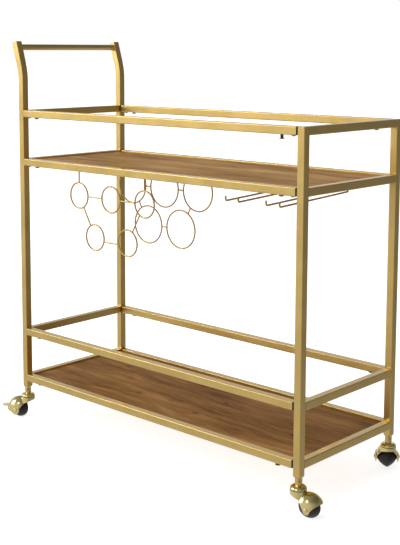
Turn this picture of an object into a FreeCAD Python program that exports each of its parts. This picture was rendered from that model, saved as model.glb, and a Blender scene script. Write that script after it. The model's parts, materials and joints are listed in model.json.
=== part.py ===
import FreeCAD, Part
import os
from math import cos, pi, radians, sin, tan
from FreeCAD import Placement, Rotation, Vector

# Bar cart on ball casters, in millimetres.
# X runs along the cart with the push handle at -X, Y from front to rear, Z up.
# Everything is drawn about the middle of the frame with Z = 0 at the top of the lower shelf's
# rails, and moved at the end so that the origin is under the middle of the box, on the floor.

# ---- frame ----
FRAME_LENGTH = 755.0
FRAME_DEPTH = 300.0
TUBE = 15.0
TUBE_WALL = 1.2
TUBE_CORNER = 1.5
SHELF_SPACING = 475.0
GUARD_RISE = 103.5
RAIL_GAP = 3.0

# ---- posts ----
POST_FOOT = -40.5
NECK_TOP = -31.0
SWAGE_TOP = -27.0
SWAGE_SIDE = 12.0
SWAGE_CORNER = 4.5
CRIMP_HEIGHT = -34.5
CRIMP_DIAMETER = 2.2
BEND_START = 642.0
BEND_RADIUS = 110.0
BEND_ANGLE = 17.0
BEND_TAIL = 50.0
CAP_PLATE = 1.2
CAP_PLUG = 7.0
CAP_PLUG_PLAY = 0.1
HANDLE_DIAMETER = 12.7
HANDLE_DROP = 11.0

# ---- boards and their fixings ----
BOARD_THICKNESS = 9.0
BOARD_RECESS = 3.5
BOARD_CLEARANCE = 0.5
BOARD_EDGE = 0.6
SHEET = 2.0
SCREW_HEAD = 7.0
SCREW_HEAD_HEIGHT = 2.0
SCREW_SHANK = 3.5
SCREW_LENGTH = 8.0
TAB_SIZE = 18.0
TAB_PLACES = (-302.5, 100.0, 258.5)

# ---- rail ends: stubs inside the rails, screws and sleeves below them ----
STUB_LENGTH = 45.0
STUB_SIDE = 12.0
END_SCREW_INSET = 10.0
END_SCREW_HEAD = 8.0
END_SCREW_HEAD_HEIGHT = 2.6
LOCK_SCREW_INSET = 35.0
LOCK_SCREW_HEAD = 10.0
LOCK_SCREW_HEAD_HEIGHT = 2.0
RAIL_SCREW_SHANK = 3.2
RAIL_SCREW_LENGTH = 6.0
RAIL_SCREW_PLAY = 0.1
SLEEVE_RADIUS = 2.8

# ---- wine rack ----
RING_WIRE = 3.2
LINK_WIRE = 2.8
RING_PITCH = 95.0
RACK_MIDDLE = -115.5
NECK_RING_RADIUS = 26.5
NECK_RING_DROP = 67.5
NECK_RACK_Y = -128.0
NECK_LOW_LINK_DROP = 6.0
BODY_RING_RADIUS = 40.0
BODY_HANGER = 2.0
BODY_RACK_Y = 26.0
STRIP_WIDTH = 12.0
WINE_STRIP_LENGTH = 300.0
WINE_STRIP_SCREWS = 280.0

# ---- stemware rack ----
ROD_WIRE = 3.5
ROD_SPACING = 29.5
ROD_PAIRS = {"left": 212.0, "right": 304.5}
ROD_TIP_Y = -140.0
ROD_TIP_DROP = 38.0
ROD_TIP_RISE = 9.0
ROD_END_Y = 65.0
ROD_END_DROP = 30.0
ROD_BEND = 4.0
GLASS_STRIP_LENGTH = 146.0
GLASS_STRIP_SCREWS = 38.0

# ---- casters ----
WHEEL_RADIUS = 20.0
TREAD_WIDTH = 1.5
WHEEL_WIDTH = 34.0
WHEEL_SIDE_RADIUS = 6.5
WHEEL_SHOULDER = (12.6, 12.0)
HUB_WIDTH = 38.4
HUB_RADIUS = 5.0
CASTER_TRAIL = 20.5
AXLE_HEIGHT = -79.0
AXLE_RADIUS = 2.5
RUNNING_GAP = 0.05
HOOD_RADIUS = 26.0
HOOD_HALF_WIDTH = 21.5
HOOD_WALL = 1.4
CUP_RADIUS = 15.0
FORK_TOP = -51.0
STEM_RADIUS = 3.5
STEM_TOP = -16.0
COLLAR_RADIUS = 6.0
COLLAR_HEIGHT = 2.4
BRAKE_GAP = 0.4
BRAKE_WALL = 1.5
AXLE_HEAD_RADIUS = 3.8
AXLE_HEAD_HEIGHT = 1.5
AXLE_HEAD_EDGE = 0.4
AXLE_HEAD_FLAT = 1.2
AXLE_HEAD_SINK = 0.2
CUP_SKIRT = 18.0
RIVET_GAP = 0.2
RIVET_HEIGHT = 1.6
DOME_GAP = 1.4
DOME_WALL = 1.2
FIT_PLAY = 0.1
# Turns the start line of the round shells to their cut-away lower side.
SHELL_START = 135.0
SOCKET_FLANGE = 6.0
SOCKET_TAPER = 2.0
# Direction in which each caster trails from its swivel, in degrees from +X.
CASTER_HEADINGS = {
    "left_front": 205.0,
    "right_front": 18.0,
    "left_rear": 150.0,
    "right_rear": 128.0,
}
BRAKED = ("left_front", "right_rear")

X_AXIS = Vector(1, 0, 0)
Y_AXIS = Vector(0, 1, 0)
Z_AXIS = Vector(0, 0, 1)
LEVELS = {
    "lower_shelf": 0.0,
    "lower_guard": GUARD_RISE,
    "upper_shelf": SHELF_SPACING,
    "upper_guard": SHELF_SPACING + GUARD_RISE,
}
# How far the lock screws' black sleeves stand below each rail, at its left and its right end.
SLEEVE_HEIGHTS = {
    "lower_shelf": (1.5, 3.5),
    "lower_guard": (1.5, 1.5),
    "upper_shelf": (1.5, 1.5),
    "upper_guard": (1.5, 6.5),
}
SIDES = {"left": -1, "right": 1}
ROWS = {"front": -1, "rear": 1}
POST_X = (FRAME_LENGTH - TUBE) / 2
POST_Y = (FRAME_DEPTH - TUBE) / 2
BOARD_UNDERSIDE = -BOARD_RECESS - BOARD_THICKNESS
ROW_DROP = RING_PITCH * sin(radians(60))


# ---------------------------------------------------------------- helpers

def moved(shape, x=0.0, y=0.0, z=0.0):
    """A copy of the shape, shifted."""
    copy = shape.copy()
    copy.translate(Vector(x, y, z))
    return copy


def laid_along(shape, direction, start):
    """A copy of a shape drawn up the Z axis, laid along a direction from a start point."""
    copy = shape.copy()
    copy.Placement = Placement(start, Rotation(Z_AXIS, direction))
    return copy


def box(x_range, y_range, z_range):
    """A block between two values on each axis."""
    corner = Vector(x_range[0], y_range[0], z_range[0])
    size = (x_range[1] - x_range[0], y_range[1] - y_range[0], z_range[1] - z_range[0])
    return Part.makeBox(*size, corner)


def rounded_square(side, corner, height):
    """Closed outline of a square with rounded corners, centred on the Z axis."""
    half = side / 2
    flat = half - corner
    bulge = flat + corner * cos(radians(45))
    edges = []
    for quarter in range(4):
        turn = Rotation(Z_AXIS, 90 * quarter)
        start = turn.multVec(Vector(half, -flat, height))
        end = turn.multVec(Vector(half, flat, height))
        middle = turn.multVec(Vector(bulge, bulge, height))
        after = turn.multVec(Vector(flat, half, height))
        edges.append(Part.LineSegment(start, end).toShape())
        edges.append(Part.Arc(end, middle, after).toShape())
    return Part.Wire(edges)


def square_prism(side, corner, low, high):
    """A solid square bar with rounded corners between two heights."""
    face = Part.Face(rounded_square(side, corner, low))
    return face.extrude(Vector(0, 0, high - low))


def square_tube(length):
    """A straight piece of the frame's tube, from the origin up the Z axis."""
    outside = square_prism(TUBE, TUBE_CORNER, 0, length)
    inside = square_prism(TUBE - 2 * TUBE_WALL, TUBE_CORNER / 2, 0, length)
    return outside.cut(inside)


def turned(points, axis=Z_AXIS):
    """A solid of revolution from (radius, height) points.

    A point given as a pair of pairs is the middle and end of an arc.
    """
    edges = []
    here = Vector(points[0][0], 0, points[0][1])
    first = here
    for point in points[1:]:
        if isinstance(point[0], tuple):
            middle = Vector(point[0][0], 0, point[0][1])
            end = Vector(point[1][0], 0, point[1][1])
            edges.append(Part.Arc(here, middle, end).toShape())
        else:
            end = Vector(point[0], 0, point[1])
            edges.append(Part.LineSegment(here, end).toShape())
        here = end
    edges.append(Part.LineSegment(here, first).toShape())
    solid = Part.Face(Part.Wire(edges)).revolve(Vector(), Z_AXIS, 360)
    if axis != Z_AXIS:
        solid.rotate(Vector(), X_AXIS, -90)
    return solid


def round_wire(start, end, diameter):
    """A straight piece of round wire between two points."""
    span = end - start
    return Part.makeCylinder(diameter / 2, span.Length, start, span)


def bent_wire(points, diameter, bend):
    """Round wire through the points, with an arc of the same radius at each corner."""
    edges = []
    here = points[0]
    for index in range(1, len(points) - 1):
        corner = points[index]
        back = (points[index - 1] - corner).normalize()
        ahead = (points[index + 1] - corner).normalize()
        half_angle = back.getAngle(ahead) / 2
        reach = bend / tan(half_angle)
        bisector = (back + ahead).normalize()
        middle = corner + bisector * (bend / sin(half_angle) - bend)
        edges.append(Part.LineSegment(here, corner + back * reach).toShape())
        edges.append(Part.Arc(corner + back * reach, middle, corner + ahead * reach).toShape())
        here = corner + ahead * reach
    edges.append(Part.LineSegment(here, points[-1]).toShape())
    outline = Part.makeCircle(diameter / 2, points[0], points[1] - points[0])
    return Part.Wire(edges).makePipeShell([Part.Wire(outline)], True, True)


def pan_screw(head_diameter, head_height, shank_diameter, shank_length):
    """A cross-head screw pointing up, with its head's flat side at Z = 0."""
    head = head_diameter / 2
    shank = shank_diameter / 2
    rim = head_height * 0.4
    crown = head_height * 0.88
    screw = turned((
        (0, -head_height),
        ((head * 0.6, -crown), (head, -rim)),
        (head, 0),
        (shank, 0),
        (shank, shank_length - shank / 2),
        (shank / 2, shank_length),
        (0, shank_length),
    ))
    slot = head * 0.55
    thin = head * 0.1
    depth = head_height * 0.45
    blade = box((-slot, slot), (-thin, thin), (-head_height, depth - head_height))
    crossed = blade.copy()
    crossed.rotate(Vector(), Z_AXIS, 90)
    return screw.cut(blade).cut(crossed)


# ---------------------------------------------------------------- frame

def post_section(side, corner, swage_side, swage_corner, tail):
    """One skin of a post: swaged foot, straight length and, on the left posts, the bent top."""
    foot = Part.makeLoft([
        rounded_square(swage_side, swage_corner, POST_FOOT),
        rounded_square(swage_side, swage_corner, NECK_TOP),
        rounded_square(side, corner, SWAGE_TOP),
    ], True, True)
    top = BEND_START if tail else LEVELS["upper_guard"] - CAP_PLATE
    body = foot.fuse(square_prism(side, corner, SWAGE_TOP, top))
    if not tail:
        return body
    face = Part.Face(rounded_square(side, corner, top))
    pivot = Vector(-BEND_RADIUS, 0, top)
    bend = face.revolve(pivot, -Y_AXIS, BEND_ANGLE)
    end = face.copy()
    end.rotate(pivot, -Y_AXIS, BEND_ANGLE)
    straight = end.extrude(bent_direction() * (BEND_TAIL - CAP_PLATE))
    return body.fuse([bend, straight])


def bent_direction():
    """Unit vector along the leaning top of a left post."""
    return Vector(-sin(radians(BEND_ANGLE)), 0, cos(radians(BEND_ANGLE)))


def bent_top():
    """Middle of a left post's top end, measured from the post's own axis."""
    angle = radians(BEND_ANGLE)
    arc_end = Vector(BEND_RADIUS * (cos(angle) - 1), 0, BEND_START + BEND_RADIUS * sin(angle))
    return arc_end + bent_direction() * BEND_TAIL


def post(side):
    """A square-tube post on its own axis, open at both ends."""
    bent = side == "left"
    outer = post_section(TUBE, TUBE_CORNER, SWAGE_SIDE, SWAGE_CORNER, bent)
    bore = TUBE - 2 * TUBE_WALL
    swage_bore = SWAGE_SIDE - 2 * TUBE_WALL
    inner = post_section(bore, TUBE_CORNER / 2, swage_bore, SWAGE_CORNER - TUBE_WALL, bent)
    tube = outer.cut(inner)
    across = Vector(1, -1, 0).normalize()
    start = Vector(0, 0, CRIMP_HEIGHT) - across * TUBE
    crimp = Part.makeCylinder(CRIMP_DIAMETER / 2, 2 * TUBE, start, across)
    return tube.cut(crimp).removeSplitter()


def post_cap():
    """A plate with a plug below it, drawn with the plate's top at Z = 0."""
    plate = square_prism(TUBE, TUBE_CORNER, -CAP_PLATE, 0)
    side = TUBE - 2 * TUBE_WALL - 2 * CAP_PLUG_PLAY
    plug = square_prism(side, TUBE_CORNER / 2, -CAP_PLATE - CAP_PLUG, -CAP_PLATE)
    return plate.fuse(plug).removeSplitter()


def post_caps():
    """The four caps that close the posts' tops."""
    cap = post_cap()
    caps = []
    for row in ROWS.values():
        leaning = laid_along(cap, bent_direction(), bent_top())
        caps.append(moved(leaning, -POST_X, row * POST_Y))
        caps.append(moved(cap, POST_X, row * POST_Y, LEVELS["upper_guard"]))
    return Part.makeCompound(caps)


def handle_bar():
    """The round push bar between the leaning tops of the left posts."""
    length = FRAME_DEPTH - 2 * TUBE
    radius = HANDLE_DIAMETER / 2
    middle = bent_top() - bent_direction() * HANDLE_DROP
    start = Vector(middle.x - POST_X, -length / 2, middle.z)
    outside = Part.makeCylinder(radius, length, start, Y_AXIS)
    inside = Part.makeCylinder(radius - TUBE_WALL, length, start, Y_AXIS)
    return outside.cut(inside)


def end_bars(side):
    """The four cross bars between the front and rear posts of one end."""
    length = FRAME_DEPTH - 2 * TUBE
    bar = laid_along(square_tube(length), Y_AXIS, Vector(0, -length / 2, 0))
    return Part.makeCompound([
        moved(bar, SIDES[side] * POST_X, 0, level - TUBE / 2) for level in LEVELS.values()
    ])


def rail_span(row):
    """Left and right end of a long rail: the gap is at the right in front, at the left behind."""
    inner = FRAME_LENGTH / 2 - TUBE
    if row == "front":
        return -inner, inner - RAIL_GAP
    return RAIL_GAP - inner, inner


def screw_places(row):
    """X of the end screws and of the lock screws of a rail."""
    low, high = rail_span(row)
    ends = (low + END_SCREW_INSET, high - END_SCREW_INSET)
    locks = (low + LOCK_SCREW_INSET, high - LOCK_SCREW_INSET)
    return ends, locks


def rail_screw_hole(x, y, z):
    """A short vertical hole of the rail screws' size, centred on a height."""
    depth = TUBE / 3
    start = Vector(x, y, z - depth)
    return Part.makeCylinder(RAIL_SCREW_SHANK / 2 + RAIL_SCREW_PLAY, 2 * depth, start)


def rail(row, level):
    """A long square rail with four screw holes in its underside."""
    low, high = rail_span(row)
    y = ROWS[row] * POST_Y
    tube = laid_along(square_tube(high - low), X_AXIS, Vector(low, y, level - TUBE / 2))
    ends, locks = screw_places(row)
    for x in ends + locks:
        tube = tube.cut(rail_screw_hole(x, y, level - TUBE))
    return tube


def rail_stubs():
    """The channels welded to the posts, over which the rails slide."""
    half = STUB_SIDE / 2
    stubs = []
    for row, row_sign in ROWS.items():
        low, high = rail_span(row)
        ends, locks = screw_places(row)
        for level in LEVELS.values():
            for sign in SIDES.values():
                inner = sign * (FRAME_LENGTH / 2 - TUBE)
                span = sorted((inner, inner - sign * STUB_LENGTH))
                y = row_sign * POST_Y
                z = level - TUBE / 2
                stub = box(span, (y - half, y + half), (z - half, z + half))
                hollow = (y - half + SHEET, y + half - SHEET)
                stub = stub.cut(box(span, hollow, (z - half + SHEET, z + half)))
                for x in ends + locks:
                    if span[0] < x < span[1]:
                        stub = stub.cut(rail_screw_hole(x, y, z - half))
                stubs.append(stub)
    return Part.makeCompound(stubs)


def rail_fixings():
    """End screws, lock screws and the lock screws' sleeves, for every rail end."""
    shank = RAIL_SCREW_SHANK
    bore = shank / 2 + RAIL_SCREW_PLAY
    end_screw = pan_screw(END_SCREW_HEAD, END_SCREW_HEAD_HEIGHT, shank, RAIL_SCREW_LENGTH)
    end_screws, lock_screws, sleeves = [], [], []
    for row, row_sign in ROWS.items():
        ends, locks = screw_places(row)
        y = row_sign * POST_Y
        for name, level in LEVELS.items():
            underside = level - TUBE
            end_screws += [moved(end_screw, x, y, underside) for x in ends]
            for x, drop in zip(locks, SLEEVE_HEIGHTS[name]):
                length = RAIL_SCREW_LENGTH + drop
                screw = pan_screw(LOCK_SCREW_HEAD, LOCK_SCREW_HEAD_HEIGHT, shank, length)
                sleeve = Part.makeCylinder(SLEEVE_RADIUS, drop).cut(Part.makeCylinder(bore, drop))
                lock_screws.append(moved(screw, x, y, underside - drop))
                sleeves.append(moved(sleeve, x, y, underside - drop))
    return {
        "rail_end_screws": Part.makeCompound(end_screws),
        "rail_lock_screws": Part.makeCompound(lock_screws),
        "rail_lock_sleeves": Part.makeCompound(sleeves),
    }


# ---------------------------------------------------------------- boards

def tab_points():
    """Places of the screws that hold a board to its tabs."""
    y = FRAME_DEPTH / 2 - TUBE - TAB_SIZE / 2
    return [(x, sign * y) for sign in ROWS.values() for x in TAB_PLACES]


def wine_strip_points():
    """Places of the screws that hold the two wine rack strips."""
    half = WINE_STRIP_SCREWS / 2
    return [(RACK_MIDDLE + s * half, y) for y in (NECK_RACK_Y, BODY_RACK_Y) for s in (-1, 1)]


def glass_strip_points():
    """Places of the screws that hold the stemware strip."""
    middle = sum(ROD_PAIRS.values()) / 2
    return [(middle + s * GLASS_STRIP_SCREWS / 2, ROD_END_Y) for s in (-1, 1)]


def screw_hole(x, y, z):
    """A vertical hole of the small screws' size, centred on a height."""
    return Part.makeCylinder(SCREW_SHANK / 2, 2 * SCREW_LENGTH, Vector(x, y, z - SCREW_LENGTH))


def board(level, points):
    """A shelf board, set a little below its rails' tops, with blind screw holes below."""
    half_x = FRAME_LENGTH / 2 - TUBE - BOARD_CLEARANCE
    half_y = FRAME_DEPTH / 2 - TUBE - BOARD_CLEARANCE
    top = level - BOARD_RECESS
    panel = box((-half_x, half_x), (-half_y, half_y), (top - BOARD_THICKNESS, top))
    rim = [edge for edge in panel.Edges if abs(edge.CenterOfMass.z - top) < BOARD_EDGE]
    panel = panel.makeChamfer(BOARD_EDGE, rim)
    depth = SCREW_LENGTH - SHEET
    for x, y in points:
        start = Vector(x, y, top - BOARD_THICKNESS)
        panel = panel.cut(Part.makeCylinder(SCREW_SHANK / 2, depth, start))
    return panel


def plate_under_board(x_range, y_range, points):
    """A flat steel piece against the underside of a board whose rails' top is Z = 0."""
    plate = box(x_range, y_range, (BOARD_UNDERSIDE - SHEET, BOARD_UNDERSIDE))
    for x, y in points:
        plate = plate.cut(screw_hole(x, y, BOARD_UNDERSIDE))
    return plate


def board_tabs():
    """Tabs welded inside the front and rear rails, under both boards."""
    tabs = []
    for x, y in tab_points():
        half = TAB_SIZE / 2
        tab = plate_under_board((x - half, x + half), (y - half, y + half), [(x, y)])
        tabs += [moved(tab, z=LEVELS[name]) for name in ("lower_shelf", "upper_shelf")]
    return Part.makeCompound(tabs)


def small_screws(points, levels):
    """The small pan screws at the given places under the given shelves."""
    screw = pan_screw(SCREW_HEAD, SCREW_HEAD_HEIGHT, SCREW_SHANK, SCREW_LENGTH)
    seat = BOARD_UNDERSIDE - SHEET
    return Part.makeCompound([
        moved(screw, x, y, LEVELS[name] + seat) for name in levels for x, y in points
    ])


# ---------------------------------------------------------------- wine rack

def ring_centres(top_z, y):
    """Centres of the rings, three above two, from the height of the top row."""
    upper = [Vector(RACK_MIDDLE + step * RING_PITCH, y, top_z) for step in (-1, 0, 1)]
    lower = [Vector(RACK_MIDDLE + step * RING_PITCH, y, top_z - ROW_DROP) for step in (-0.5, 0.5)]
    return upper + lower


def ring(centre, radius):
    """A closed wire ring facing the front."""
    return Part.makeTorus(radius, RING_WIRE / 2, centre, Y_AXIS)


def ring_links(centres, rings, radius, low_link_drop):
    """Straight wires welded between neighbouring rings, trimmed to the rings' surfaces."""
    drop = Vector(0, 0, -low_link_drop)
    pairs = [(0, 1, Vector()), (1, 2, Vector()), (3, 4, drop), (0, 3, Vector()), (2, 4, Vector())]
    links = []
    for first, second, shift in pairs:
        reach = (centres[second] - centres[first]).normalize() * radius
        start = centres[first] + reach + shift
        end = centres[second] - reach + shift
        wire = round_wire(start, end, LINK_WIRE)
        links.append(wire.cut(Part.makeCompound(rings)))
    return links


def hangers(centres, rings, radius, bottom):
    """Short upright wires from the strip down to the given rings."""
    wires = []
    for centre in centres:
        wire = round_wire(centre + Vector(0, 0, radius), Vector(centre.x, centre.y, bottom), LINK_WIRE)
        wires.append(wire.cut(Part.makeCompound(rings)))
    return wires


def wine_rack():
    """Neck rings in front, body rings behind, with their links, hangers and strips."""
    shelf = LEVELS["upper_shelf"]
    strip_bottom = shelf + BOARD_UNDERSIDE - SHEET
    nodes = {}
    body_top = strip_bottom - BODY_HANGER - RING_WIRE / 2 - BODY_RING_RADIUS
    racks = {
        "neck": (NECK_RING_RADIUS, shelf - NECK_RING_DROP, NECK_RACK_Y, NECK_LOW_LINK_DROP, (0, 2)),
        "body": (BODY_RING_RADIUS, body_top, BODY_RACK_Y, 0.0, (0, 1, 2)),
    }
    strips = []
    for name, (radius, top_z, y, low_drop, hung) in racks.items():
        centres = ring_centres(top_z, y)
        rings = [ring(centre, radius) for centre in centres]
        for number, solid in enumerate(rings, 1):
            nodes[f"{name}_ring_{number}"] = solid
        wires = ring_links(centres, rings, radius, low_drop)
        wires += hangers([centres[i] for i in hung], rings, radius, strip_bottom)
        nodes[f"{name}_ring_links"] = Part.makeCompound(wires)
        half = WINE_STRIP_LENGTH / 2
        holes = [point for point in wine_strip_points() if point[1] == y]
        x_range = (RACK_MIDDLE - half, RACK_MIDDLE + half)
        y_range = (y - STRIP_WIDTH / 2, y + STRIP_WIDTH / 2)
        strips.append(moved(plate_under_board(x_range, y_range, holes), z=shelf))
    nodes["wine_rack_strips"] = Part.makeCompound(strips)
    return nodes


# ---------------------------------------------------------------- stemware rack

def stemware_rack():
    """Two pairs of rods, sloping up to the strip that carries them."""
    shelf = LEVELS["upper_shelf"]
    strip_bottom = shelf + BOARD_UNDERSIDE - SHEET
    nodes = {}
    for name, middle in ROD_PAIRS.items():
        rods = []
        for side in (-1, 1):
            x = middle + side * ROD_SPACING / 2
            tip = shelf - ROD_TIP_DROP
            rods.append(bent_wire([
                Vector(x, ROD_TIP_Y, tip + ROD_TIP_RISE),
                Vector(x, ROD_TIP_Y, tip),
                Vector(x, ROD_END_Y, shelf - ROD_END_DROP),
                Vector(x, ROD_END_Y, strip_bottom),
            ], ROD_WIRE, ROD_BEND))
        nodes[f"{name}_glass_rods"] = Part.makeCompound(rods)
    middle = sum(ROD_PAIRS.values()) / 2
    half = GLASS_STRIP_LENGTH / 2
    y_range = (ROD_END_Y - STRIP_WIDTH / 2, ROD_END_Y + STRIP_WIDTH / 2)
    strip = plate_under_board((middle - half, middle + half), y_range, glass_strip_points())
    nodes["glass_rack_strip"] = moved(strip, z=shelf)
    return nodes


# ---------------------------------------------------------------- casters
# A caster is drawn with its swivel on the Z axis and its wheel trailing towards +X.

def spheroid(radius, half_width):
    """A ball about the axle, narrower along the axle than across it."""
    curve = Part.Ellipse(Vector(), radius, half_width)
    arc = Part.ArcOfEllipse(curve, -pi / 2, pi / 2).toShape()
    chord = Part.LineSegment(Vector(0, half_width, 0), Vector(0, -half_width, 0)).toShape()
    solid = Part.Face(Part.Wire([arc, chord])).revolve(Vector(), Y_AXIS, 360)
    solid.rotate(Vector(), Y_AXIS, SHELL_START)
    return moved(solid, CASTER_TRAIL, 0, AXLE_HEIGHT)


def side_prism(points, half_width=40.0):
    """A block across the caster from a side outline of (x, z) points relative to the axle.

    A point given as a pair of pairs is the middle and end of an arc.
    """
    def place(pair):
        return Vector(CASTER_TRAIL + pair[0], -half_width, AXLE_HEIGHT + pair[1])

    edges = []
    here = place(points[0])
    for point in points[1:]:
        if isinstance(point[0], tuple):
            end = place(point[1])
            edges.append(Part.Arc(here, place(point[0]), end).toShape())
        else:
            end = place(point)
            edges.append(Part.LineSegment(here, end).toShape())
        here = end
    if here.distanceToPoint(place(points[0])) > 0.001:
        edges.append(Part.LineSegment(here, place(points[0])).toShape())
    return Part.Face(Part.Wire(edges)).extrude(Vector(0, 2 * half_width, 0))


def caster_axle(braked):
    """The wheel's pin with a low round head at each end."""
    seat = HOOD_HALF_WIDTH - AXLE_HEAD_SINK
    if braked:
        seat = HOOD_HALF_WIDTH + BRAKE_GAP + BRAKE_WALL
    head = AXLE_HEAD_RADIUS
    shoulder = head * 0.78
    edge = AXLE_HEAD_EDGE
    tip = seat + AXLE_HEAD_HEIGHT
    pin = turned((
        (0, -tip),
        (AXLE_HEAD_FLAT, -tip),
        ((shoulder, edge - tip), (head, -seat - edge)),
        (head, -seat),
        (AXLE_RADIUS, -seat),
        (AXLE_RADIUS, seat),
        (head, seat),
        (head, seat + edge),
        ((shoulder, tip - edge), (AXLE_HEAD_FLAT, tip)),
        (0, tip),
    ), Y_AXIS)
    return moved(pin, CASTER_TRAIL, 0, AXLE_HEIGHT)


def caster_wheel():
    """A ball-like wheel that rises to a narrow tread, with a hub that fills the fork."""
    half = WHEEL_WIDTH / 2
    hub = HUB_WIDTH / 2
    tread = TREAD_WIDTH / 2
    side = WHEEL_SIDE_RADIUS
    reach, out = WHEEL_SHOULDER
    bore = AXLE_RADIUS + RUNNING_GAP
    wheel = turned((
        (bore, -hub),
        (HUB_RADIUS, -hub),
        (HUB_RADIUS, -half),
        (side, -half),
        ((reach, -out), (WHEEL_RADIUS, -tread)),
        (WHEEL_RADIUS, tread),
        ((reach, out), (side, half)),
        (HUB_RADIUS, half),
        (HUB_RADIUS, hub),
        (bore, hub),
    ), Y_AXIS)
    return moved(wheel, CASTER_TRAIL, 0, AXLE_HEIGHT)


def caster_hood(axle):
    """The swivelling fork: a round cup that runs into a hood with a lug each side."""
    cup_foot = FORK_TOP - CUP_SKIRT
    cup = Part.makeCylinder(CUP_RADIUS, CUP_SKIRT, Vector(0, 0, cup_foot))
    bore_foot = Vector(0, 0, cup_foot - HOOD_WALL)
    cup_bore = Part.makeCylinder(CUP_RADIUS - HOOD_WALL, CUP_SKIRT, bore_foot)
    outside = cup.fuse(spheroid(HOOD_RADIUS, HOOD_HALF_WIDTH))
    inside = cup_bore.fuse(spheroid(HOOD_RADIUS - HOOD_WALL, HOOD_HALF_WIDTH - HOOD_WALL))
    outline = side_prism((
        (-40, 30),
        (-40, 23.5),
        (-38, 23),
        (-17, 14.5),
        ((-10.8, 7.2), (-5.6, -1.5)),
        ((0, -7.8), (5.8, -2.4)),
        ((12.0, 4.6), (26.5, 10.6)),
        (30, 11),
        (30, 30),
    ))
    hood = outside.cut(inside).common(outline)
    hole_foot = Vector(0, 0, FORK_TOP - 2 * HOOD_WALL)
    stem_hole = Part.makeCylinder(STEM_RADIUS + RUNNING_GAP, 3 * HOOD_WALL, hole_foot)
    return hood.cut(stem_hole).cut(axle)


def brake_lever():
    """A yoke that turns on the axle outside the lugs, with a tongue to press behind the wheel."""
    inner = spheroid(HOOD_RADIUS + BRAKE_GAP, HOOD_HALF_WIDTH + BRAKE_GAP)
    wall = BRAKE_GAP + BRAKE_WALL
    outer = spheroid(HOOD_RADIUS + wall, HOOD_HALF_WIDTH + wall)
    outline = side_prism((
        (-6.5, 7.0),
        ((-8.0, -1.5), (-3.5, -9.0)),
        ((0, -10.5), (5.0, -9.3)),
        ((16.0, -4.5), (31.0, -3.2)),
        (31.0, 6.0),
        ((12.0, 8.5), (-6.5, 7.0)),
    ))
    yoke = outer.cut(inner).common(outline)
    root, tip, half = 25.0, 41.5, 9.0
    low, high = 2.2, 4.0
    tongue = box((root, tip - half), (-half, half), (low, high))
    tongue = tongue.fuse(Part.makeCylinder(half, high - low, Vector(tip - half, 0, low)))
    tongue = moved(tongue, CASTER_TRAIL, 0, AXLE_HEIGHT).cut(inner)
    reach = 2 * HOOD_HALF_WIDTH
    start = Vector(CASTER_TRAIL, -reach, AXLE_HEIGHT)
    hole = Part.makeCylinder(AXLE_RADIUS + RUNNING_GAP, 2 * reach, start, Y_AXIS)
    return yoke.fuse(tongue).removeSplitter().cut(hole)


def caster_stem():
    """The fixed pin: shank in the socket, collar under the post and rivet head in the fork."""
    rivet = FORK_TOP - HOOD_WALL - RIVET_GAP
    collar_low = POST_FOOT - COLLAR_HEIGHT
    return turned((
        (0, STEM_TOP),
        (STEM_RADIUS - 1, STEM_TOP),
        (STEM_RADIUS, STEM_TOP - 1),
        (STEM_RADIUS, POST_FOOT),
        (COLLAR_RADIUS, POST_FOOT),
        (COLLAR_RADIUS, collar_low),
        (STEM_RADIUS, collar_low),
        (STEM_RADIUS, rivet),
        (COLLAR_RADIUS, rivet),
        (COLLAR_RADIUS - 1, rivet - RIVET_HEIGHT),
        (0, rivet - RIVET_HEIGHT),
    ))


def caster_cap():
    """The fixed dome over the swivel, held under the stem's collar."""
    top = POST_FOOT - COLLAR_HEIGHT
    rim = FORK_TOP + DOME_GAP
    hole = STEM_RADIUS + FIT_PLAY
    return turned((
        (hole, top),
        (8.2, top - 0.5),
        ((12.9, top - 2.1), (CUP_RADIUS, top - 4.9)),
        (CUP_RADIUS, rim),
        (CUP_RADIUS - DOME_WALL, rim),
        ((11.8, top - 3.3), (8.0, top - 1.7)),
        (hole, top - 1.3),
    ))


def bearing_ring():
    """The dark ring on which the fork turns, under the dome."""
    low = FORK_TOP + FIT_PLAY
    high = FORK_TOP + DOME_GAP
    inner = STEM_RADIUS + FIT_PLAY
    outer = CUP_RADIUS - DOME_WALL / 2
    return turned(((inner, low), (outer, low), (outer, high), (inner, high)))


def caster_socket():
    """The sleeve inside a post's foot that grips the stem."""
    bore = STEM_RADIUS + RUNNING_GAP
    sleeve = SWAGE_SIDE / 2 - TUBE_WALL - FIT_PLAY
    flange = TUBE / 2 - TUBE_WALL - FIT_PLAY
    top = STEM_TOP + SOCKET_TAPER
    flange_foot = top - SOCKET_FLANGE
    return turned((
        (bore, POST_FOOT),
        (sleeve, POST_FOOT),
        (sleeve, flange_foot - SOCKET_TAPER),
        (flange, flange_foot),
        (flange, top),
        (bore, top),
    ))


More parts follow.
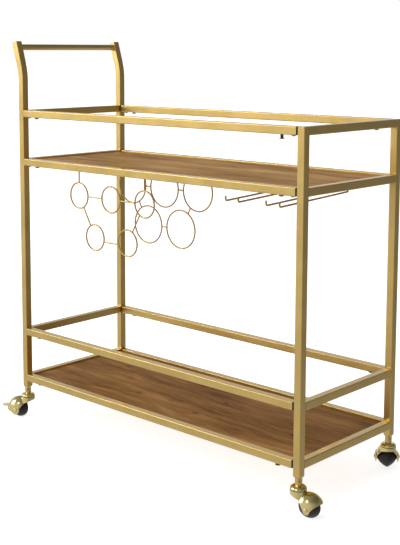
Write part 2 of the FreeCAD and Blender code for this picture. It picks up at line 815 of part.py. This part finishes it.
def casters():
    """Every caster part, placed under its post and turned to its heading."""
    nodes = {}
    fixed = {
        "caster_sockets": caster_socket(),
        "caster_stems": caster_stem(),
        "caster_caps": caster_cap(),
        "caster_bearing_rings": bearing_ring(),
    }
    places = [(side, row) for side in SIDES for row in ROWS]
    for name, solid in fixed.items():
        nodes[name] = Part.makeCompound([
            moved(solid, SIDES[side] * POST_X, ROWS[row] * POST_Y) for side, row in places
        ])
    wheel = caster_wheel()
    for side, row in places:
        corner = f"{side}_{row}"
        braked = corner in BRAKED
        axle = caster_axle(braked)
        pieces = {"caster_hood": caster_hood(axle), "caster_axle": axle, "caster_wheel": wheel}
        if braked:
            pieces["brake_lever"] = brake_lever()
        spot = Vector(SIDES[side] * POST_X, ROWS[row] * POST_Y, 0)
        turn = Placement(spot, Rotation(Z_AXIS, CASTER_HEADINGS[corner]))
        for name, solid in pieces.items():
            placed = solid.copy()
            placed.Placement = turn.multiply(placed.Placement)
            nodes[f"{corner}_{name}"] = placed
    return nodes


# ---------------------------------------------------------------- whole cart

def cart():
    """Every node of the cart by name, about the middle of the frame."""
    nodes = {}
    for side, side_sign in SIDES.items():
        for row, row_sign in ROWS.items():
            nodes[f"{side}_{row}_post"] = moved(post(side), side_sign * POST_X, row_sign * POST_Y)
        nodes[f"{side}_end_bars"] = end_bars(side)
    nodes["post_caps"] = post_caps()
    nodes["handle_bar"] = handle_bar()
    for row in ROWS:
        for name, level in LEVELS.items():
            nodes[f"{name}_{row}_rail"] = rail(row, level)
    nodes["rail_stubs"] = rail_stubs()
    nodes.update(rail_fixings())
    rack_points = wine_strip_points() + glass_strip_points()
    nodes["lower_board"] = board(LEVELS["lower_shelf"], tab_points())
    nodes["upper_board"] = board(LEVELS["upper_shelf"], tab_points() + rack_points)
    nodes["board_tabs"] = board_tabs()
    nodes["board_screws"] = small_screws(tab_points(), ("lower_shelf", "upper_shelf"))
    nodes["rack_screws"] = small_screws(rack_points, ("upper_shelf",))
    nodes.update(wine_rack())
    nodes.update(stemware_rack())
    nodes.update(casters())
    return nodes


def floor_shift(nodes):
    """The move that brings the middle of the whole box's underside to the origin."""
    whole = FreeCAD.BoundBox()
    for shape in nodes.values():
        whole.add(shape.optimalBoundingBox(False))
    return Vector(-whole.Center.x, -whole.Center.y, WHEEL_RADIUS - AXLE_HEIGHT)


NODES = cart()
SHIFT = floor_shift(NODES)
os.makedirs("parts", exist_ok=True)
for node_name, node_shape in NODES.items():
    moved(node_shape, SHIFT.x, SHIFT.y, SHIFT.z).exportStep(f"parts/{node_name}.step")
print(len(NODES), "nodes, shifted by", SHIFT)
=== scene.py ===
import json
import math

import bmesh
import bpy
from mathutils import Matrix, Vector, noise


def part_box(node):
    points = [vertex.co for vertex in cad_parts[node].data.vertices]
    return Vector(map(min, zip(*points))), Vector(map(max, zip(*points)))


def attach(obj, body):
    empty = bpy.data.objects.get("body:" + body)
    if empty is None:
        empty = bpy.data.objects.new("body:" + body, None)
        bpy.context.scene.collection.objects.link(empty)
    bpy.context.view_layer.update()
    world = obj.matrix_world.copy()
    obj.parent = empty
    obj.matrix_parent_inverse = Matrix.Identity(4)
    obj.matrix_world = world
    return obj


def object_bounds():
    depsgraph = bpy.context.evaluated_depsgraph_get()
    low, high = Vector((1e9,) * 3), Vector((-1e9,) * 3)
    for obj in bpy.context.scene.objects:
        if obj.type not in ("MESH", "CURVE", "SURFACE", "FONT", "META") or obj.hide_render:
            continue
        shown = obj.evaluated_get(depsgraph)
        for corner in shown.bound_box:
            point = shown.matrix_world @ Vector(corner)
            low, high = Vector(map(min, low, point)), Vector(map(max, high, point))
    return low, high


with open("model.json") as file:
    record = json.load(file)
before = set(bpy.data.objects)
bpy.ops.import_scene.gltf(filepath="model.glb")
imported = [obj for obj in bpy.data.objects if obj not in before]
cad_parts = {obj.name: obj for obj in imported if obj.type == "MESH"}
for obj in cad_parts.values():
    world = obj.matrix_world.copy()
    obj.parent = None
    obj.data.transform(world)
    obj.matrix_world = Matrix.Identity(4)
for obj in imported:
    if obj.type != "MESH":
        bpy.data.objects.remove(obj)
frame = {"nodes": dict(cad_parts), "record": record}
cad_low, cad_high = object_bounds()
NODES = frame["nodes"]
MM = 0.001
UP = Vector((0, 0, 1))
WHITE = (1.0, 1.0, 1.0, 1.0)


def srgb(red, green, blue):
    """Linear colour of a 0 to 255 screen colour."""
    def linear(value):
        value /= 255
        return value / 12.92 if value <= 0.04045 else ((value + 0.055) / 1.055) ** 2.4
    return (linear(red), linear(green), linear(blue), 1.0)


# ---- camera, in metres and degrees; the lens and the sensor in millimetres ----
CAMERA_PLACE = Vector((1.4596, -1.6086, 0.8025))
CAMERA_YAW = 43.80
CAMERA_PITCH = 6.79
CAMERA_LENS = 71.5
CAMERA_SENSOR = 36.0
CAMERA_SHIFT = (0.0597, -0.17)

# ---- lamps: metres from the cart's middle, then watts, or watts per square metre for the sun ----
SUN_OFFSET = Vector((-1.2, -1.6, 4.0))
SUN_STRENGTH = 1.25
SUN_SPREAD = 60
KEY_OFFSET = Vector((-2.6, -2.6, 1.5))
KEY_POWER = 54
KEY_SIZE = (1.3, 1.7)
SPARKLE_OFFSET = Vector((0.4, -3.0, 1.9))
SPARKLE_POWER = 9
SPARKLE_SIZE = (0.5, 0.7)

# ---- floor ----
FLOOR_SIZE = 60.0
FLOOR_CELLS = 8
FLOOR_GLOW = 0.80
FLOOR_TONES = (srgb(211, 216, 221), srgb(215, 220, 225))

# ---- the room that the metal reflects ----
# Each part has a direction from the cart, a brightness, and the cosines of the angles from that
# direction at which it starts and is complete.
BRIGHT_SIDE = Vector((-0.72, -0.68, 0.12)).normalized()
BRIGHT_SPAN = (-0.75, 0.85)
ROOM_DIM = 0.21
ROOM_BRIGHT = 0.66
BACKDROP_SIDE = Vector((-0.60, 0.80, 0.02)).normalized()
BACKDROP_SPAN = (0.55, 0.95)
ROOM_BACKDROP = 0.75
FLOOR_SPAN = (0.0, 0.60)
ROOM_FLOOR = 0.62
CEILING_SPAN = (0.30, 0.75)
ROOM_CEILING = 0.50
ROOM_TINT = (1.0, 0.99, 0.97, 1.0)
WORLD_WHITE = 1.0

# ---- finishes: the name, the light tone and the deep tone of each gold paint, by material slot ----
GOLD_PAINTS = {
    "frame_gold": ("frame_gold_satin", srgb(226, 195, 121), srgb(213, 181, 105)),
    "rack_wire": ("rack_wire_satin", srgb(212, 178, 100), srgb(192, 156, 82)),
    "screws": ("screw_gold", srgb(206, 176, 112), srgb(188, 156, 92)),
}
BRASS_TONES = (srgb(232, 210, 134), srgb(244, 229, 164))
RUBBER_TONES = (srgb(13, 13, 13), srgb(30, 29, 27))
PLASTIC_TONES = (srgb(20, 20, 20), srgb(36, 35, 34))
BEVEL_SAMPLES = 6
# The places of a Mix node's colour sockets.
MIX_FIRST, MIX_SECOND, MIX_RESULT = 6, 7, 2

# ---- wood: the stain's tones run from dark to light ----
STAIN_STOPS = (0.34, 0.44, 0.54, 0.66)
LOWER_STAINS = (srgb(87, 53, 18), srgb(127, 85, 32), srgb(153, 107, 46), srgb(185, 138, 75))
# The upper board's tones are a lighter copy of the lower ones: painted sheen on the same veneer.
UPPER_STAINS_WITH_PAINTED_SHEEN = (srgb(108, 71, 28), srgb(151, 106, 46), srgb(178, 131, 64), srgb(206, 160, 94))
KNOT_BROWN = srgb(58, 32, 13)
# Each knot's distance from the board's middle along and across it, and its radius, in metres.
LOWER_KNOTS = (
    (-0.105, -0.068, 0.0050),
    (0.066, -0.078, 0.0036),
    (0.072, 0.012, 0.0040),
    (-0.255, 0.050, 0.0045),
    (0.285, -0.035, 0.0055),
)
UPPER_KNOTS = (
    (-0.190, -0.020, 0.0050),
    (0.035, 0.065, 0.0040),
    (0.245, 0.015, 0.0050),
)
KNOT_NARROWING = 0.45
KNOT_FALLOFF = 0.35
KNOT_PUSH = 0.8
# Noise cells per metre, along and across the grain.
BLOTCH_CELLS = (3.6, 19.0)
STREAK_CELLS = (7.0, 78.0)
FIBRE_CELLS = (30.0, 420.0)
SWAY_CELLS = (3.2, 8.0, 8.0)
RIPPLE_CELLS = (22.0, 36.0, 36.0)
# How far the grain wanders across the board, in metres.
SWAY_REACH = 0.060
RIPPLE_REACH = 0.014
# What each noise adds to the stain's tone.
STREAK_SHARE = 0.52
BLOTCH_SHARE = 0.48
FIBRE_SHARE = 0.20

# ---- racks: five rings each, three above two, numbered along each row ----
RING_COUNT = 5
RING_PAIRS = ((0, 1), (1, 2), (3, 4), (0, 3), (2, 4))
HUNG_RINGS = {"neck": (0, 2), "body": (0, 1, 2)}
# The link between the two lower neck rings lies below their centres.
LOW_LINK = ("neck", 3)
LOW_LINK_DROP = Vector((0, 0, -6 * MM))
ROD_WIRE = 3.5 * MM

# ---- welds ----
LEVELS = ("lower_shelf", "lower_guard", "upper_shelf", "upper_guard")
FILLET_LEG = 1.3 * MM
FILLET_STEPS = 26
FILLET_POINTS = 7
FILLET_INSET = 2.0 * MM
FILLET_HOLLOW = 0.341
FILLET_HOLLOW_POWER = 1.5
FILLET_TAPER_POWER = 0.25
FILLET_RIPPLES = 2.4 / MM
ROUND_LEG = 0.9 * MM
ROUND_STEPS = 72
ROUND_HOLLOW = 0.34
ROUND_HOLLOW_POWER = 1
ROUND_RIPPLES = 11
WELD_RIPPLE = 0.10
WELD_ROOT = 0.2 * MM
DROP_LUMP = 0.13
DROP_LUMP_CELLS = 1.7
DROP_SUBDIVISIONS = 4
# Half length and half width of a drop, in wire thicknesses.
LINK_DROP = (0.55, 0.60)
HANGER_DROP = (0.42, 0.64)
ROD_DROP = (0.42, 0.68)
# A drop's centre lies this far outside the middle of the ring's wire, in wire thicknesses.
DROP_OUTSIDE = 0.35


# ---------------------------------------------------------------- shaders

class Graph:
    """A node tree with short calls for adding nodes to it."""

    def __init__(self, tree):
        self.tree = tree

    def put(self, socket, value):
        """Link a node's output to a socket, or set the socket's own value."""
        if isinstance(value, bpy.types.NodeSocket):
            self.tree.links.new(value, socket)
        else:
            socket.default_value = value

    def add(self, kind, inputs, **settings):
        """A new node with its inputs linked or set."""
        node = self.tree.nodes.new(kind)
        for name, value in settings.items():
            setattr(node, name, value)
        for socket, value in inputs.items():
            self.put(node.inputs[socket], value)
        return node

    def maths(self, operation, *values):
        """One arithmetic step."""
        return self.add("ShaderNodeMath", dict(enumerate(values)), operation=operation).outputs[0]

    def plus(self, first, second):
        """A sum."""
        return self.maths("ADD", first, second)

    def minus(self, first, second):
        """A difference."""
        return self.maths("SUBTRACT", first, second)

    def times(self, first, second):
        """A product."""
        return self.maths("MULTIPLY", first, second)

    def over(self, first, second):
        """A quotient."""
        return self.maths("DIVIDE", first, second)

    def spread(self, value, span, result):
        """A smooth change over a span of values from one result to another."""
        inputs = {"Value": value}
        inputs["From Min"], inputs["From Max"] = span
        inputs["To Min"], inputs["To Max"] = result
        node = self.add("ShaderNodeMapRange", inputs, interpolation_type="SMOOTHSTEP")
        return node.outputs["Result"]


class Shader(Graph):
    """A material with one surface shader."""

    def __init__(self, name):
        self.material = bpy.data.materials.new(name)
        self.material.use_nodes = True
        super().__init__(self.material.node_tree)
        self.surface = self.tree.nodes["Principled BSDF"]

    def place(self, scale=(1, 1, 1)):
        """The object's own coordinates in metres, scaled per axis."""
        source = self.add("ShaderNodeTexCoord", {}).outputs["Object"]
        return self.add("ShaderNodeMapping", {"Vector": source, "Scale": scale}).outputs["Vector"]

    def noise(self, vector, scale=1.0, detail=2, roughness=0.5):
        """Noise between 0 and 1."""
        inputs = {"Vector": vector, "Scale": scale, "Detail": detail, "Roughness": roughness}
        return self.add("ShaderNodeTexNoise", inputs).outputs["Fac"]

    def ramp(self, value, stops, colours):
        """A colour ramp with one colour at each stop."""
        node = self.add("ShaderNodeValToRGB", {"Fac": value})
        marks = node.color_ramp.elements
        while len(marks) < len(stops):
            marks.new(0.5)
        for mark, position, colour in zip(marks, stops, colours):
            mark.position = position
            mark.color = colour
        return node.outputs["Color"]

    def mix(self, factor, first, second):
        """A mix of two colours."""
        inputs = {"Factor": factor, MIX_FIRST: first, MIX_SECOND: second}
        return self.add("ShaderNodeMix", inputs, data_type="RGBA").outputs[MIX_RESULT]

    def bump(self, height, depth, strength, edge=0.0):
        """Relief of a height map, with its depth in metres, on edges softened to a radius."""
        inputs = {"Height": height, "Distance": depth, "Strength": strength}
        if edge:
            bevel = self.add("ShaderNodeBevel", {"Radius": edge}, samples=BEVEL_SAMPLES)
            inputs["Normal"] = bevel.outputs["Normal"]
        return self.add("ShaderNodeBump", inputs).outputs["Normal"]

    def finish(self, **inputs):
        """Set the surface's inputs and return the material."""
        for name, value in inputs.items():
            self.put(self.surface.inputs[name.replace("_", " ")], value)
        return self.material


def satin_gold(name, light, deep):
    """Metallic gold paint: fine flakes, a soft cloudiness and a slight orange-peel surface."""
    shader = Shader(name)
    place = shader.place()
    cloud = shader.noise(place, scale=22, detail=3)
    flakes = shader.noise(place, scale=2600, roughness=0.7)
    peel = shader.noise(place, scale=620)
    tone = shader.plus(
        shader.spread(cloud, (0.3, 0.7), (0.0, 0.55)),
        shader.spread(flakes, (0.35, 0.7), (0.0, 0.45)),
    )
    rough = shader.plus(
        shader.spread(cloud, (0.3, 0.7), (0.33, 0.40)),
        shader.spread(flakes, (0.3, 0.7), (-0.02, 0.03)),
    )
    return shader.finish(
        Base_Color=shader.ramp(tone, (0.0, 1.0), (deep, light)),
        Metallic=1.0,
        Roughness=rough,
        Normal=shader.bump(peel, depth=0.06 * MM, strength=0.5, edge=0.6 * MM),
        Coat_Weight=0.55,
        Coat_Roughness=0.14,
    )


def polished_brass(name):
    """Bright brass plating with faint handling marks and shallow press waves."""
    shader = Shader(name)
    place = shader.place()
    smear = shader.noise(place, scale=90, detail=4, roughness=0.6)
    waves = shader.noise(place, scale=70, detail=1)
    return shader.finish(
        Base_Color=shader.ramp(smear, (0.30, 0.70), BRASS_TONES),
        Metallic=1.0,
        Roughness=shader.spread(smear, (0.3, 0.75), (0.15, 0.23)),
        Normal=shader.bump(waves, depth=0.6 * MM, strength=0.5, edge=0.4 * MM),
        Coat_Weight=0.6,
        Coat_Roughness=0.12,
    )


def black_rubber(name):
    """Smooth black wheel rubber, a little dusty."""
    shader = Shader(name)
    place = shader.place()
    dust = shader.noise(place, scale=140, detail=5, roughness=0.65)
    grain = shader.noise(place, scale=1900)
    return shader.finish(
        Base_Color=shader.ramp(dust, (0.35, 0.75), RUBBER_TONES),
        Roughness=shader.spread(dust, (0.3, 0.8), (0.34, 0.50)),
        Normal=shader.bump(grain, depth=0.05 * MM, strength=0.5),
    )


def black_plastic(name):
    """Matt black moulded plastic."""
    shader = Shader(name)
    grain = shader.noise(shader.place(), scale=1500, detail=3)
    return shader.finish(
        Base_Color=shader.ramp(grain, (0.3, 0.7), PLASTIC_TONES),
        Roughness=0.55,
        Normal=shader.bump(grain, depth=0.08 * MM, strength=0.6),
    )


def pale_floor():
    """Plain pale studio floor."""
    shader = Shader("studio_floor")
    drift = shader.noise(shader.place(), scale=0.7, detail=3)
    return shader.finish(
        Base_Color=shader.ramp(drift, (0.3, 0.7), FLOOR_TONES),
        Roughness=0.7,
        Emission_Color=WHITE,
        Emission_Strength=FLOOR_GLOW,
    )


# ---------------------------------------------------------------- wood

def knot_bend(shader, across, along, knots):
    """The grain's place across the board, pushed round the knots, and how close the nearest is."""
    bent = across
    closeness = 0.0
    for x, y, radius in knots:
        run = shader.times(shader.minus(along, x), KNOT_NARROWING / radius)
        side = shader.minus(across, y)
        scaled = shader.times(side, 1.0 / radius)
        square = shader.plus(shader.times(run, run), shader.times(scaled, scaled))
        near = shader.over(1.0, shader.plus(1.0, shader.times(square, KNOT_FALLOFF)))
        core = shader.over(1.0, shader.plus(1.0, shader.times(square, square)))
        bent = shader.minus(bent, shader.times(side, shader.times(near, KNOT_PUSH)))
        closeness = shader.maths("MAXIMUM", closeness, core)
    return bent, closeness


def stained_wood(name, stains, knots):
    """Brown fir veneer: blotchy stain, long streaks along X, fine fibres and small knots."""
    shader = Shader(name)
    split = shader.add("ShaderNodeSeparateXYZ", {"Vector": shader.place()})
    along, across, height = split.outputs[:3]
    sway = shader.minus(shader.noise(shader.place(SWAY_CELLS), detail=3), 0.5)
    ripple = shader.minus(shader.noise(shader.place(RIPPLE_CELLS), detail=4), 0.5)
    across = shader.plus(across, shader.times(sway, SWAY_REACH))
    across = shader.plus(across, shader.times(ripple, RIPPLE_REACH))
    bent, closeness = knot_bend(shader, across, along, knots)

    def grain(cells, detail, roughness):
        """Noise that is stretched along the bent grain."""
        run, width = cells
        parts = {
            "X": shader.times(along, run),
            "Y": shader.times(bent, width),
            "Z": shader.times(height, width),
        }
        vector = shader.add("ShaderNodeCombineXYZ", parts).outputs["Vector"]
        return shader.noise(vector, detail=detail, roughness=roughness)

    blotches = grain(BLOTCH_CELLS, detail=4, roughness=0.55)
    streaks = grain(STREAK_CELLS, detail=7, roughness=0.68)
    fibres = grain(FIBRE_CELLS, detail=3, roughness=0.6)
    stain = shader.plus(shader.times(streaks, STREAK_SHARE), shader.times(blotches, BLOTCH_SHARE))
    tone = shader.plus(stain, shader.times(shader.minus(fibres, 0.5), FIBRE_SHARE))
    ragged = shader.plus(closeness, shader.times(shader.minus(streaks, 0.5), 0.9))
    core = shader.spread(ragged, (0.45, 0.95), (0.0, 0.72))
    relief = shader.plus(shader.times(fibres, 0.7), shader.times(streaks, 0.5))
    return shader.finish(
        Base_Color=shader.mix(core, shader.ramp(tone, STAIN_STOPS, stains), KNOT_BROWN),
        Roughness=shader.spread(tone, (0.3, 0.7), (0.62, 0.48)),
        Normal=shader.bump(relief, depth=0.22 * MM, strength=0.6),
        Specular_IOR_Level=0.16,
    )


def board_veneer(node, name, stains, knots):
    """A board's own veneer, with its knots placed from the board's middle."""
    low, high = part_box(node)
    middle = (low + high) / 2
    placed = [(middle.x + along, middle.y + across, radius) for along, across, radius in knots]
    return stained_wood(name, stains, placed)


# ---------------------------------------------------------------- finishes of the CAD nodes

def paint_nodes():
    """Give every CAD node its finish, by the record's material slots, and each board its veneer."""
    finishes = {slot: satin_gold(*paint) for slot, paint in GOLD_PAINTS.items()}
    finishes["caster_brass"] = polished_brass("caster_brass_polished")
    finishes["wheel"] = black_rubber("wheel_black")
    finishes["black_plastic"] = black_plastic("sleeve_black")
    # The rail stubs take the matt black finish, so the short gaps at the rail ends show dark.
    finishes["stub_steel"] = black_plastic("stub_dark")
    boards = {
        "lower_board": board_veneer("lower_board", "board_lower", LOWER_STAINS, LOWER_KNOTS),
        # The upper board's veneer carries painted sheen in its lighter tones.
        "upper_board": board_veneer("upper_board", "board_upper_painted_sheen", UPPER_STAINS_WITH_PAINTED_SHEEN, UPPER_KNOTS),
    }
    for part in frame["record"]["subparts"]:
        node = part["node"]
        finish = boards[node] if node in boards else finishes[part["material_slot"]]
        NODES[node].data.materials.clear()
        NODES[node].data.materials.append(finish)
    return finishes


# ---------------------------------------------------------------- welds

def new_piece(name, build, material):
    """A smooth mesh object from a bmesh, riding on the frame."""
    mesh = bpy.data.meshes.new(name)
    build.to_mesh(mesh)
    build.free()
    for face in mesh.polygons:
        face.use_smooth = True
    mesh.materials.append(material)
    piece = bpy.data.objects.new(name, mesh)
    bpy.context.scene.collection.objects.link(piece)
    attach(piece, "frame")


def fillet_profile(size, hollow, power):
    """A fillet's section: how far each point lies out from one wall and up from the other."""
    points = []
    for index in range(FILLET_POINTS):
        angle = math.pi / 2 * index / (FILLET_POINTS - 1)
        reach = size * (1 - hollow * math.sin(2 * angle) ** power)
        points.append((reach * math.cos(angle), reach * math.sin(angle)))
    return points + [(-WELD_ROOT, -WELD_ROOT)]


def skin(build, rings, closed):
    """Faces between neighbouring rings; a run that isn't closed gets end faces."""
    following = rings[1:] + rings[:1] if closed else rings[1:]
    for first, second in zip(rings, following):
        for index in range(len(first)):
            after = (index + 1) % len(first)
            build.faces.new((first[index], first[after], second[after], second[index]))
    if not closed:
        build.faces.new(rings[0])
        build.faces.new(rings[-1])


def straight_fillet(build, start, end, outward, upward):
    """A short fillet weld in the corner between two faces, with rounded ends and a ripple."""
    span = end - start
    rings = []
    for step in range(FILLET_STEPS + 1):
        part = step / FILLET_STEPS
        taper = math.sin(math.pi * part) ** FILLET_TAPER_POWER if 0 < part < 1 else 0.0
        ripple = 1 + WELD_RIPPLE * math.sin(part * span.length * FILLET_RIPPLES)
        size = FILLET_LEG * taper * ripple
        centre = start + span * part
        ring = []
        for out, up in fillet_profile(size, FILLET_HOLLOW, FILLET_HOLLOW_POWER):
            ring.append(build.verts.new(centre + outward * out + upward * up))
        rings.append(ring)
    skin(build, rings, closed=False)


def round_fillet(build, centre, radius, into):
    """A rippled fillet weld round the end of a bar that runs along Y."""
    rings = []
    for step in range(ROUND_STEPS):
        angle = 2 * math.pi * step / ROUND_STEPS
        size = ROUND_LEG * (1 + WELD_RIPPLE * math.sin(ROUND_RIPPLES * angle))
        ring = []
        for out, up in fillet_profile(size, ROUND_HOLLOW, ROUND_HOLLOW_POWER):
            reach = radius + out
            x = centre.x + reach * math.cos(angle)
            z = centre.z + reach * math.sin(angle)
            ring.append(build.verts.new((x, centre.y + into * up, z)))
        rings.append(ring)
    skin(build, rings, closed=True)


def end_bar_welds(material):
    """Fillet welds above and below every end bar, where it meets the posts."""
    build = bmesh.new()
    for side in ("left", "right"):
        bars_low, bars_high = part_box(f"{side}_end_bars")
        x_start = bars_low.x + FILLET_INSET
        x_end = bars_high.x - FILLET_INSET
        for level in LEVELS:
            rail_low, rail_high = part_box(f"{level}_front_rail")
            seams = [(rail_high.z, UP), (rail_low.z, -UP)]
            # The right posts end level with the upper guard, so its bar has no seam above it.
            if side == "right" and level == "upper_guard":
                seams = seams[1:]
            for y, into in ((bars_low.y, 1), (bars_high.y, -1)):
                for z, upward in seams:
                    start = Vector((x_start, y, z))
                    end = Vector((x_end, y, z))
                    straight_fillet(build, start, end, Vector((0, into, 0)), upward)
    bmesh.ops.recalc_face_normals(build, faces=build.faces)
    new_piece("end_bar_welds", build, material)


def handle_welds(material):
    """Round fillet welds where the push bar meets the two leaning posts."""
    build = bmesh.new()
    low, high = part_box("handle_bar")
    middle = (low + high) / 2
    radius = (high.x - low.x) / 2
    for y, into in ((low.y, 1), (high.y, -1)):
        round_fillet(build, Vector((middle.x, y, middle.z)), radius, into)
    bmesh.ops.recalc_face_normals(build, faces=build.faces)
    new_piece("handle_welds", build, material)


def weld_drop(build, place, along, length, width, seed):
    """A lumpy drop of weld metal round a wire's end."""
    made = bmesh.ops.create_icosphere(build, subdivisions=DROP_SUBDIVISIONS, radius=1.0)["verts"]
    turn = along.to_track_quat("Z", "Y").to_matrix()
    shift = Vector((seed, 0, 0))
    for vertex in made:
        x, y, z = vertex.co
        lump = 1 + DROP_LUMP * noise.noise(vertex.co * DROP_LUMP_CELLS + shift)
        vertex.co = place + turn @ (Vector((x * width, y * width, z * length)) * lump)


def ring_data(rack):
    """Centre, radius to the wire's middle and wire thickness of each ring of a rack."""
    rings = []
    for number in range(1, RING_COUNT + 1):
        low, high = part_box(f"{rack}_ring_{number}")
        wire = high.y - low.y
        rings.append(((low + high) / 2, (high.x - low.x) / 2 - wire / 2, wire))
    return rings


def ring_drops(rack):
    """Place, direction, wire thickness and shape of each drop on a rack's rings and hangers."""
    rings = ring_data(rack)
    drops = []
    for first, second in RING_PAIRS:
        apart = (rings[second][0] - rings[first][0]).normalized()
        lowered = LOW_LINK_DROP if (rack, first) == LOW_LINK else Vector()
        for index, sign in ((first, 1), (second, -1)):
            centre, radius, wire = rings[index]
            place = centre + apart * sign * (radius + DROP_OUTSIDE * wire) + lowered
            drops.append((place, apart, wire, LINK_DROP))
    strip_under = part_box("wine_rack_strips")[0].z
    for index in HUNG_RINGS[rack]:
        centre, radius, wire = rings[index]
        drops.append((centre + UP * (radius + DROP_OUTSIDE * wire), UP, wire, HANGER_DROP))
        drops.append((Vector((centre.x, centre.y, strip_under)), UP, wire, HANGER_DROP))
    return drops


def rod_drops(side):
    """Place, direction, wire thickness and shape of the drop at the top of each glass rod."""
    low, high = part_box(f"{side}_glass_rods")
    half = ROD_WIRE / 2
    y = high.y - half
    return [(Vector((x, y, high.z)), UP, ROD_WIRE, ROD_DROP) for x in (low.x + half, high.x - half)]


def rack_welds(material):
    """Weld drops where links and hangers meet the rings and the strips."""
    build = bmesh.new()
    drops = ring_drops("neck") + ring_drops("body") + rod_drops("left") + rod_drops("right")
    for seed, (place, along, wire, (length, width)) in enumerate(drops, start=1):
        weld_drop(build, place, along, length * wire, width * wire, seed)
    new_piece("rack_welds", build, material)


# ---------------------------------------------------------------- studio

def add_camera():
    """The camera, right of the cart's front and as high as its top, tilted a little down."""
    data = bpy.data.cameras.new("camera")
    data.lens = CAMERA_LENS
    data.sensor_width = CAMERA_SENSOR
    data.shift_x, data.shift_y = CAMERA_SHIFT
    camera = bpy.data.objects.new("camera", data)
    bpy.context.scene.collection.objects.link(camera)
    camera.location = CAMERA_PLACE
    camera.rotation_euler = (math.radians(90 - CAMERA_PITCH), 0, math.radians(CAMERA_YAW))
    bpy.context.scene.camera = camera


def add_lamp(name, kind, offset, power):
    """A lamp that points at the cart's middle."""
    data = bpy.data.lights.new(name, kind)
    data.energy = power
    lamp = bpy.data.objects.new(name, data)
    bpy.context.scene.collection.objects.link(lamp)
    lamp.location = (cad_low + cad_high) / 2 + offset
    lamp.rotation_euler = (-offset).to_track_quat("-Z", "Y").to_euler()
    return lamp


def add_softbox(name, offset, power, size):
    """A rectangular softbox."""
    data = add_lamp(name, "AREA", offset, power).data
    data.shape = "RECTANGLE"
    data.size, data.size_y = size


def add_lights():
    """A soft sun from above, a softbox at the bright side and a small one for sparkle."""
    sun = add_lamp("soft_sun", "SUN", SUN_OFFSET, SUN_STRENGTH)
    sun.data.angle = math.radians(SUN_SPREAD)
    sun.visible_glossy = False
    add_softbox("key_softbox", KEY_OFFSET, KEY_POWER, KEY_SIZE)
    add_softbox("sparkle_box", SPARKLE_OFFSET, SPARKLE_POWER, SPARKLE_SIZE)


def add_world():
    """A pale room: brighter on the key side, with a white backdrop, and plain white to the camera."""
    world = bpy.data.worlds.new("studio")
    bpy.context.scene.world = world
    world.use_nodes = True
    world.node_tree.nodes.clear()
    room = Graph(world.node_tree)
    direction = room.add("ShaderNodeTexCoord", {}).outputs["Generated"]

    def lobe(towards, span, levels):
        """Brightness that goes from one level to another as a ray turns towards a direction."""
        inputs = {0: direction, 1: towards}
        node = room.add("ShaderNodeVectorMath", inputs, operation="DOT_PRODUCT")
        return room.spread(node.outputs["Value"], span, levels)

    level = lobe(BRIGHT_SIDE, BRIGHT_SPAN, (ROOM_DIM, ROOM_BRIGHT))
    level = room.maths("MAXIMUM", level, lobe(BACKDROP_SIDE, BACKDROP_SPAN, (0.0, ROOM_BACKDROP)))
    level = room.maths("MAXIMUM", level, lobe(-UP, FLOOR_SPAN, (0.0, ROOM_FLOOR)))
    level = room.times(level, lobe(UP, CEILING_SPAN, (1.0, ROOM_CEILING)))
    reflected = room.add("ShaderNodeBackground", {"Color": ROOM_TINT, "Strength": level})
    plain = room.add("ShaderNodeBackground", {"Color": WHITE, "Strength": WORLD_WHITE})
    seen = room.add("ShaderNodeLightPath", {}).outputs["Is Camera Ray"]
    inputs = {"Fac": seen, 1: reflected.outputs[0], 2: plain.outputs[0]}
    pick = room.add("ShaderNodeMixShader", inputs)
    room.add("ShaderNodeOutputWorld", {"Surface": pick.outputs[0]})


def add_floor():
    """A wide pale floor under the wheels."""
    build = bmesh.new()
    bmesh.ops.create_grid(build, x_segments=FLOOR_CELLS, y_segments=FLOOR_CELLS, size=FLOOR_SIZE)
    mesh = bpy.data.meshes.new("floor")
    build.to_mesh(mesh)
    build.free()
    mesh.materials.append(pale_floor())
    floor = bpy.data.objects.new("floor", mesh)
    bpy.context.scene.collection.objects.link(floor)
    floor.location.z = cad_low.z
    floor.visible_glossy = False


finishes = paint_nodes()
end_bar_welds(finishes["frame_gold"])
handle_welds(finishes["frame_gold"])
rack_welds(finishes["rack_wire"])
add_camera()
add_lights()
add_world()
add_floor()
bpy.context.scene.view_settings.view_transform = "Standard"
